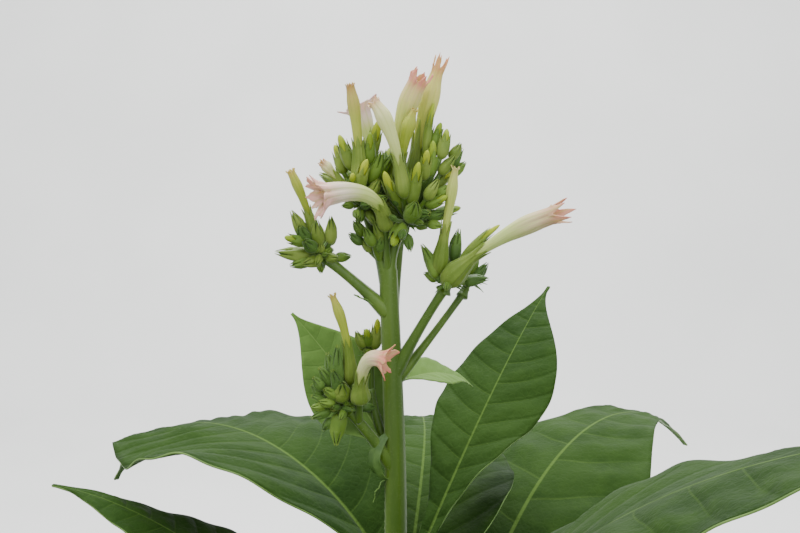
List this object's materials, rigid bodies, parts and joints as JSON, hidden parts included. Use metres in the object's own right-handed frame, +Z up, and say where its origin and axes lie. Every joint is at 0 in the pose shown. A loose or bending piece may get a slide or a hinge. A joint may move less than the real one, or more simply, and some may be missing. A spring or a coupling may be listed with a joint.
{
  "type": "tobacco plant",
  "caption": "Flowering tobacco plant rooted in the ground: upright stem, large leaves in a spiral, and a top of stalked bud clusters with tube flowers.",
  "frame": {"origin": "centre of the flat cut under the stem, at ground level", "axes": "+Z up the stem, +X to the right and +Y away from the viewer as pictured"},
  "size_m": [0.9897, 0.9816, 1.347],
  "materials": {
    "stem": "smooth green stem with fine pale hairs",
    "leaf": "soft matte green blade with a pale midrib",
    "buds": "yellow-green calyx with pointed teeth",
    "petal": "cream tube with a pink mouth"
  },
  "bodies": {
    "root": {"stem": "stem", "stalk_upper_left": "stem", "stalk_right": "stem", "stalk_right_second": "stem", "stalk_lower_left": "stem", "stalk_lower_left_second": "stem", "stalk_rear": "stem", "corolla_right_long": "petal", "corolla_right_upright": "petal", "corolla_top_right": "petal", "corolla_top_centre": "petal", "corolla_top_slender": "petal", "corolla_curved_white": "petal", "corolla_back_pink": "petal", "corolla_left_upright": "petal", "corolla_small_pink": "petal", "corolla_nodding": "petal", "corolla_upper_left_tube": "petal", "corolla_lower_left_tube": "petal", "corolla_lower_left_open": "petal", "buds_top_left": "buds", "buds_top_right": "buds", "buds_top_rear": "buds", "buds_upper_left": "buds", "buds_right": "buds", "buds_right_second": "buds", "buds_lower_left": "buds", "buds_lower_left_second": "buds", "buds_rear": "buds", "bract_left": "leaf", "bract_right": "leaf", "bract_curled": "leaf", "bract_hanging": "leaf", "bract_upper_left": "leaf", "leaf_01": "leaf", "leaf_02": "leaf", "leaf_03": "leaf", "leaf_04": "leaf", "leaf_05": "leaf", "leaf_06": "leaf", "leaf_07": "leaf", "leaf_08": "leaf", "leaf_09": "leaf", "leaf_10": "leaf", "leaf_11": "leaf", "leaf_12": "leaf", "leaf_13": "leaf", "leaf_14": "leaf", "leaf_15": "leaf", "leaf_16": "leaf", "leaf_17": "leaf", "leaf_18": "leaf", "leaf_19": "leaf", "leaf_20": "leaf", "leaf_21": "leaf", "leaf_22": "leaf"}
  },
  "joints": []
}
